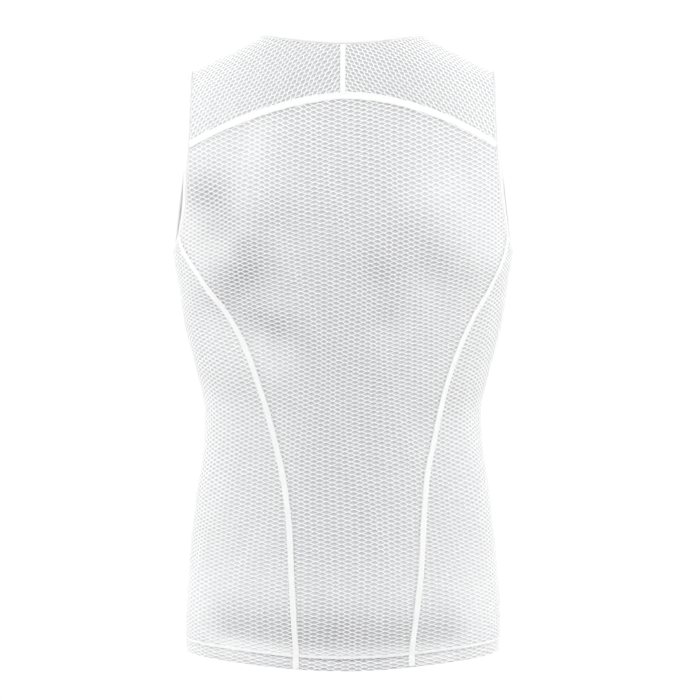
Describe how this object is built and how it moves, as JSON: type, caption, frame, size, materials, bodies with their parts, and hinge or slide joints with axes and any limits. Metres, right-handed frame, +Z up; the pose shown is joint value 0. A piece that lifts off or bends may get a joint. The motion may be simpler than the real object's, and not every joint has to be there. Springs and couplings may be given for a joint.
{
  "type": "sleeveless cycling base layer",
  "caption": "sleeveless cycling base layer in white knitted net, filled out as worn, with a shoulder yoke, curved back seams, bound neck and armholes and a turned-up hem",
  "frame": {"origin": "midway between the two side neck points at the height of the shoulder line, where the wearer's shoulders carry the garment", "axes": "+Z up, -Y out of the wearer's back (the side pictured), +Y out of the chest, +X to the right as seen from behind"},
  "size_m": [0.3526, 0.2362, 0.6485],
  "materials": {
    "net": "white polyester net with staggered rhombic cells about 12 by 4.5 mm, soft semi-matt",
    "yoke_net": "the same white net cut on the bias, its cells rising towards the centre",
    "binding": "white elastic binding, folded and stitched",
    "seam_thread": "white flat-lock seam thread"
  },
  "bodies": {
    "root": {"back_body": "net", "side_left": "net", "side_right": "net", "front_body": "net", "yoke_left": "yoke_net", "yoke_right": "yoke_net", "hem": "net", "neck_binding": "binding", "armhole_binding_left": "binding", "armhole_binding_right": "binding", "yoke_seam": "seam_thread", "centre_back_seam": "seam_thread", "back_seam_left": "seam_thread", "back_seam_right": "seam_thread", "front_seam_left": "seam_thread", "front_seam_right": "seam_thread", "front_yoke_seam_left": "seam_thread", "front_yoke_seam_right": "seam_thread"}
  },
  "joints": []
}
